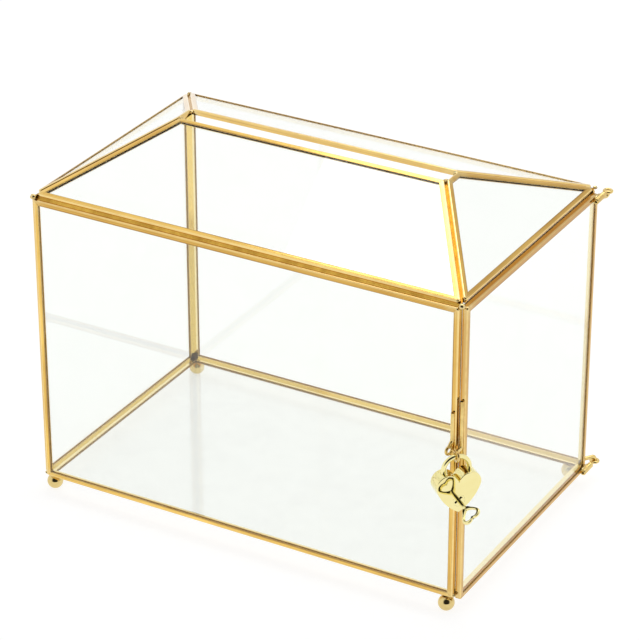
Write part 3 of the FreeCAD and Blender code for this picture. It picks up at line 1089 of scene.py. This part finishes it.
@dataclass
class Solder:
    """Solder in the inner corners and the small drops that close the outer corners."""

    sizes: CaseSizes
    inner_reach: float = 0.0024
    outer_reach: float = 0.0011
    outer_shape: Vector = vector_field(1.2, 1.0, 0.9)
    outer_swing: float = 0.2
    outer_lumpiness: float = 0.35
    ring_seed: float = 10.0
    bottom_lift: Vector = vector_field(0.2, 0.35, 0.3)
    eave_lift: Vector = vector_field(0.15, 0.45, 0.5)
    ridge_lift: Vector = vector_field(0.2, 0.0, 0.5)
    lump_reach: float = 0.0018
    lump_shape: Vector = vector_field(1.0, 0.9, 0.85)
    lump_seed: float = 31.0
    left_lump: Vector = vector_field(-0.1, -0.72, 0.5)
    right_lump: Vector = vector_field(0.33, -0.66, 0.37)

    def inner_planes(self, corner: Vector) -> list[Vector]:
        """Return the outward normals of the inner planes that meet at a corner.

        Args:
            corner: An inner corner at the floor or the eaves.

        Returns:
            The normals.
        """
        side_x, side_y = math.copysign(1, corner.x), math.copysign(1, corner.y)
        normals = [Vector((side_x, 0, 0)), Vector((0, side_y, 0))]
        if corner.z < self.sizes.eave:
            return normals + [-UP]
        rise = self.sizes.roof_rise
        run_x = self.sizes.half_length - self.sizes.slot_half_length
        run_y = self.sizes.half_width - self.sizes.slot_half_width
        return normals + [Vector((side_x * rise, 0, run_x)), Vector((0, side_y * rise, run_y))]

    def inner_fillets(self, bench: Bench) -> None:
        """Make the darker solder in the inner corners, whose colour is painted shade.

        Args:
            bench: Where the pieces are made.
        """
        fillets = bmesh.new()
        reach = Vector((self.inner_reach,) * 3)
        corners = self.sizes.wall_ring(self.sizes.floor) + self.sizes.wall_ring(self.sizes.eave)
        for number, corner in enumerate(corners):
            fillet = bmesh.new()
            SolderDrop(corner, reach, number + 1.0).add_to(fillet)
            for normal in self.inner_planes(corner):
                cut_away(fillet, corner, normal.normalized())
            take_in(fillets, fillet)
        finish = bench.palette.dull_shaded_solder
        bench.place(fillets, "inner_corner_solder", Body.CASE, Slot.SOLDER, finish, "corner_solder")

    def outer_drops(self, bench: Bench) -> None:
        """Make the bright drops where the panes' outer corners meet, and two lumps at the front eave.

        Args:
            bench: Where the pieces are made.
        """
        drops = bmesh.new()
        thick = self.sizes.pane
        rings = (
            (self.sizes.wall_ring(self.sizes.wall_bottom), self.bottom_lift),
            (self.sizes.wall_ring(self.sizes.eave), self.eave_lift),
            (self.sizes.ridge_ring(), self.ridge_lift),
        )
        for level, (ring, lift) in enumerate(rings):
            for number, corner in enumerate(ring):
                inside = level == 0 and corner.x > 0
                side_x = -1.0 if inside else math.copysign(1, corner.x)
                way = Vector((lift.x * side_x, lift.y * math.copysign(1, corner.y), lift.z))
                seed = self.ring_seed * level + number
                reach = self.outer_shape * self.outer_reach * (1.0 + self.outer_swing * math.sin(seed))
                SolderDrop(corner + way * thick, reach, seed, self.outer_lumpiness).add_to(drops)
        eaves = self.sizes.wall_ring(self.sizes.eave)
        for number, lift in enumerate((self.left_lump, self.right_lump)):
            reach = self.lump_shape * self.lump_reach
            SolderDrop(eaves[number] + lift * thick, reach, self.lump_seed + number).add_to(drops)
        bench.place(drops, "outer_corner_solder", Body.CASE, Slot.SOLDER, bench.palette.solder)

    def build(self, bench: Bench) -> None:
        """Make the inner fillets and the outer drops."""
        self.inner_fillets(bench)
        self.outer_drops(bench)


@dataclass
class BallFoot:
    """A ball foot and the ring of solder that holds it under its corner."""

    node: str
    flat: float = 0.00012
    segments: int = 56
    rings: int = 36
    ring_reach: float = 0.0026
    ring_drop: float = 0.0009
    ring_lap: float = 0.25
    seed_steps: Range = (90.0, 50.0)

    def build(self, bench: Bench) -> None:
        """Make the ball and its ring.

        Args:
            bench: Where the pieces are made.
        """
        low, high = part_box(self.node)
        radius = (high.x - low.x) / 2
        centre = Vector(((low.x + high.x) / 2, (low.y + high.y) / 2, low.z - self.flat + radius))
        ball = bmesh.new()
        bmesh.ops.create_uvsphere(
            ball, u_segments=self.segments, v_segments=self.rings, radius=radius,
            matrix=Matrix.Translation(centre),
        )
        cut_away(ball, low, -UP)
        cut_away(ball, high, UP)
        bench.place(ball, self.node + "_ball", Body.CASE, Slot.FEET, bench.palette.ball, self.node)
        ring = bmesh.new()
        middle = Vector((centre.x, centre.y, high.z - self.ring_drop * self.ring_lap))
        reach = Vector((self.ring_reach, self.ring_reach, self.ring_drop))
        seed = centre.x * self.seed_steps[0] + centre.y * self.seed_steps[1]
        SolderDrop(middle, reach, seed).add_to(ring)
        cut_away(ring, high, UP)
        bench.place(ring, self.node + "_solder", Body.CASE, Slot.SOLDER, bench.palette.solder)


@dataclass
class Hinge:
    """One wire hinge: a ribbed tube on the door, an eye in it and a pin on the case."""

    level: Level
    rib_count: int = 7
    rib_edges: Range = (0.28, 0.72)
    groove_depth: float = 0.00025
    bore_radius: float = 0.00085
    segments: int = 36
    crease: float = 60.0
    dab_reach: Vector = vector_field(0.0008, 0.0034, 0.0008)
    dab_lift: float = 0.0005
    dab_shift: float = 0.001
    dab_spread: float = 0.85
    seed_step: float = 40.0

    def tube(self, bench: Bench, node: str) -> None:
        """Make the ribbed tube.

        Args:
            bench: Where the pieces are made.
            node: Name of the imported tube.
        """
        low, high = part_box(node)
        radius = (high.z - low.z) / 2
        axis = Vector((high.x - radius, 0, (low.z + high.z) / 2))
        step = (high.y - low.y) / self.rib_count
        spots = [(self.bore_radius, low.y), (radius - self.groove_depth, low.y)]
        for rib in range(self.rib_count):
            start = low.y + rib * step
            spots += [(radius, start + step * share) for share in self.rib_edges]
            spots.append((radius - self.groove_depth, start + step))
        spots.append((self.bore_radius, high.y))
        mesh = bmesh.new()
        verts = [mesh.verts.new(axis + Vector((reach, y, 0))) for reach, y in spots]
        edges = [mesh.edges.new(pair) for pair in zip(verts, verts[1:] + verts[:1])]
        bmesh.ops.spin(
            mesh, geom=verts + edges, cent=axis, axis=Vector((0, 1, 0)), angle=math.tau,
            steps=self.segments, use_merge=True,
        )
        bmesh.ops.remove_doubles(mesh, verts=mesh.verts[:], dist=MERGE)
        turn_outwards(mesh)
        bench.place(mesh, node + "_ribbed", Body.DOOR, Slot.WIRE, bench.palette.wire, node, self.crease)

    def dabs(self, bench: Bench, node: str) -> None:
        """Make the two dabs of solder that hold the tube on the door.

        Args:
            bench: Where the pieces are made.
            node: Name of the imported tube.
        """
        low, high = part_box(node)
        middle = (low + high) / 2
        mesh = bmesh.new()
        for number, edge in enumerate((low.z, high.z)):
            height = middle.z + (edge - middle.z) * self.dab_spread
            spot = Vector((low.x + self.dab_lift, middle.y - self.dab_shift, height))
            SolderDrop(spot, self.dab_reach, number + middle.z * self.seed_step).add_to(mesh)
        bench.place(mesh, node + "_solder", Body.DOOR, Slot.SOLDER, bench.palette.solder)

    def build(self, bench: Bench) -> None:
        """Make the tube and its solder, and dress the eye and the pin.

        Args:
            bench: Where the pieces are made.
        """
        node = self.level.value + "_hinge_tube"
        self.tube(bench, node)
        self.dabs(bench, node)
        for wire in ("_hinge_eye", "_hinge_pin"):
            bench.dress(self.level.value + wire, bench.palette.wire)


@dataclass
class HaspEye:
    """A tube soldered upright on an edge, with the eye that the padlock meets."""

    node: str
    body: Body
    wall: float = 0.0003
    hollow: float = 0.0035
    crease: float = 45.0

    def build(self, bench: Bench) -> None:
        """Make the tube with its open top.

        Args:
            bench: Where the pieces are made.
        """
        top_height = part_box(self.node)[1].z
        mesh = bench.copy(self.node)
        level = [face for face in mesh.faces if face.calc_center_median().z > top_height - NEAR]
        top = max(level, key=lambda face: face.calc_area())
        bmesh.ops.inset_region(mesh, faces=[top], thickness=self.wall, depth=0.0, use_even_offset=True)
        moved = bmesh.ops.extrude_face_region(mesh, geom=[top])["geom"]
        floor = only(bmesh.types.BMVert, moved)
        bmesh.ops.delete(mesh, geom=[top], context="FACES_KEEP_BOUNDARY")
        bmesh.ops.translate(mesh, verts=floor, vec=-UP * self.hollow)
        turn_outwards(mesh)
        name, finish = self.node + "_tube", bench.palette.wire
        bench.place(mesh, name, self.body, Slot.WIRE, finish, self.node, self.crease)


@dataclass
class Padlock:
    """The heart padlock with its shackle, plug and key."""

    keyhole: Vector
    outward: Vector
    half_thickness: float = 0.00425
    keyhole_drop: float = 0.0092
    plug_radius: float = 0.0032
    plug_margin: float = 1.1
    rim_radius: float = 0.0005
    notch_height: float = 0.0012
    notch_reach: float = 0.0016
    key_turn: float = math.radians(40.0)
    bow_start: float = 0.0096
    bow_half_thickness: float = 0.00075
    bow_radius: float = 0.0006
    segments: int = 4
    crease: float = 35.0

    @classmethod
    def from_joints(cls, joints: list[dict]) -> Padlock:
        """Place the lock by the joint that its key turns on."""
        turning = next(joint for joint in joints if joint["name"] == "key_turn")
        return cls(Vector(turning["pos_m"]), Vector(turning["axis"]))

    def flat_part(self, point: Vector) -> Vector:
        """Return a point's offset from the keyhole within the lock's face."""
        offset = point - self.keyhole
        return offset - self.outward * offset.dot(self.outward)

    def shell(self, bench: Bench, node: str, side: float) -> None:
        """Make one half of the heart with a rounded rim.

        Args:
            bench: Where the pieces are made.
            node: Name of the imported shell.
            side: 1 for the front half and -1 for the back half.
        """
        notch = UP * (self.keyhole_drop + self.notch_height)
        plug = self.plug_radius * self.plug_margin if side > 0 else 0.0

        def on_rim(point: Vector) -> bool:
            """Tell whether a point lies on the outer face, clear of the notch and the plug.

            Args:
                point: The point.

            Returns:
                Whether it does.
            """
            depth = (point - self.keyhole).dot(self.outward) * side
            spot = self.flat_part(point)
            clear = (spot - notch).length >= self.notch_reach and spot.length >= plug
            return clear and abs(depth - self.half_thickness) <= NEAR

        mesh = bench.copy(node)
        round_off(mesh, sharp_rim(mesh, on_rim), self.rim_radius, self.segments)
        self.polish(bench, mesh, node, Body.LOCK)

    def key(self, bench: Bench) -> None:
        """Make the key with a rounded bow.

        Args:
            bench: Where the pieces are made.
        """
        across = UP.cross(self.outward)
        lift = UP * math.cos(self.key_turn) - across * math.sin(self.key_turn)
        start = self.half_thickness + self.bow_start

        def on_rim(point: Vector) -> bool:
            """Tell whether a point lies on one of the bow's two broad faces.

            Args:
                point: The point.

            Returns:
                Whether it does.
            """
            offset = point - self.keyhole
            flat = abs(abs(offset.dot(lift)) - self.bow_half_thickness) <= NEAR
            return flat and offset.dot(self.outward) >= start

        mesh = bench.copy("key")
        round_off(mesh, sharp_rim(mesh, on_rim), self.bow_radius, self.segments)
        self.polish(bench, mesh, "key", Body.KEY)

    def polish(self, bench: Bench, mesh: Mesh, node: str, body: Body) -> None:
        """Turn a rounded mesh into the polished piece that replaces its node."""
        name, finish = node + "_polished", bench.palette.gold
        bench.place(mesh, name, body, Slot.GOLD, finish, node, self.crease, True)

    def build(self, bench: Bench) -> None:
        """Make the shells and the key, and dress the rest.

        Args:
            bench: Where the pieces are made.
        """
        self.shell(bench, "lock_front_shell", 1.0)
        self.shell(bench, "lock_back_shell", -1.0)
        self.key(bench)
        for node in ("shackle", "lock_plug"):
            bench.dress(node, bench.palette.gold)
        for node in ("lock_latch", "shackle_spring"):
            bench.dress(node, bench.palette.steel)


@dataclass(frozen=True)
class DarkPatch:
    """A part of the room that mirrors show darker: its direction, how far it reaches and how dark it is."""

    way: Colour
    edge: Range
    share: float


@dataclass
class Studio:
    """White floor, soft light and the camera."""

    floor_reach: float = 5.0
    floor_cells: int = 8
    ambient: float = 0.55
    patches: tuple[DarkPatch, ...] = (
        DarkPatch(way=(0.437, -0.740, 0.511), edge=(0.62, 0.84), share=0.97),
        DarkPatch(way=(0.182, 0.769, 0.612), edge=(0.88, 0.97), share=0.2),
    )
    softbox_place: Colour = (-0.05, 0.61, 1.35)
    softbox_size: Range = (1.1, 0.6)
    softbox_power: float = 4.5
    camera_place: Colour = (0.70105, -1.23079, 0.84890)
    camera_pitch: float = math.radians(90.0 - 27.7348)
    camera_yaw: float = math.radians(29.5664)
    camera_lens: float = 165.138
    sensor: float = 36.0

    def build(self, palette: Palette) -> None:
        """Set up the floor, the softbox, the surroundings and the camera.

        Args:
            palette: Finishes of the scene.
        """
        bpy.context.scene.view_settings.view_transform = "Standard"
        self.floor(palette)
        self.softbox()
        self.surroundings()
        self.camera()

    def floor(self, palette: Palette) -> None:
        """Lay the white floor.

        Args:
            palette: Finishes of the scene.
        """
        mesh = bmesh.new()
        cells = self.floor_cells
        bmesh.ops.create_grid(mesh, x_segments=cells, y_segments=cells, size=self.floor_reach)
        data = bpy.data.meshes.new("floor")
        mesh.to_mesh(data)
        mesh.free()
        data.materials.append(palette.floor)
        floor = bpy.data.objects.new("floor", data)
        show(floor)

    def softbox(self) -> None:
        """Hang the softbox flat above the box."""
        light = bpy.data.lights.new("softbox", "AREA")
        light.shape = "RECTANGLE"
        light.size, light.size_y = self.softbox_size
        light.energy = self.softbox_power
        lamp = bpy.data.objects.new("softbox", light)
        lamp.location = self.softbox_place
        show(lamp)

    def surroundings(self) -> None:
        """Surround the box with a white room that mirrors show darker in places."""
        world = bpy.data.worlds.new("studio")
        world.use_nodes = True
        graph = Graph(world.node_tree)
        way = graph.add("TexCoord", {}).outputs["Generated"]
        glossy = graph.add("LightPath", {}).outputs["Is Glossy Ray"]
        strength = graph.spread(graph.seen(), (0.0, 1.0), (self.ambient, 1.0))
        for patch in self.patches:
            near = graph.add("VectorMath", {0: way, 1: patch.way}, operation="DOT_PRODUCT").outputs["Value"]
            dark = graph.times(graph.spread(near, patch.edge, (0.0, patch.share)), glossy)
            strength = graph.maths("SUBTRACT", strength, dark)
        back = graph.add("Background", {"Color": WHITE, "Strength": strength}).outputs[0]
        graph.add("OutputWorld", {"Surface": back})
        bpy.context.scene.world = world

    def camera(self) -> None:
        """Set up the camera."""
        camera = bpy.data.objects.new("camera", bpy.data.cameras.new("camera"))
        camera.data.lens = self.camera_lens
        camera.data.sensor_width = self.sensor
        camera.location = self.camera_place
        camera.rotation_euler = (self.camera_pitch, 0.0, self.camera_yaw)
        show(camera)
        bpy.context.scene.camera = camera


def main() -> None:
    """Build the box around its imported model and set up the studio."""
    logging.basicConfig(level=logging.INFO, format="%(message)s")
    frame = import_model()
    palette = Palette()
    bench = Bench(frame["nodes"], palette)
    sizes = CaseSizes.from_frame()
    Studio().build(palette)
    frames = {pane: ChannelFrame(pane, sizes) for pane in Pane}
    for channel_frame in frames.values():
        channel_frame.build(bench)
    for first, second in SEAMS:
        Seam(frames[first], frames[second]).build(bench)
    DoorGapShade(sizes).build(bench)
    Solder(sizes).build(bench)
    for row in ("front", "back"):
        for end in ("left", "right"):
            BallFoot(f"{row}_{end}_foot").build(bench)
    for level in Level:
        Hinge(level).build(bench)
    HaspEye("case_hasp_eye", Body.CASE).build(bench)
    HaspEye("door_hasp_eye", Body.DOOR).build(bench)
    Padlock.from_joints(frame["joints"]).build(bench)


if __name__ == "__main__":
    main()
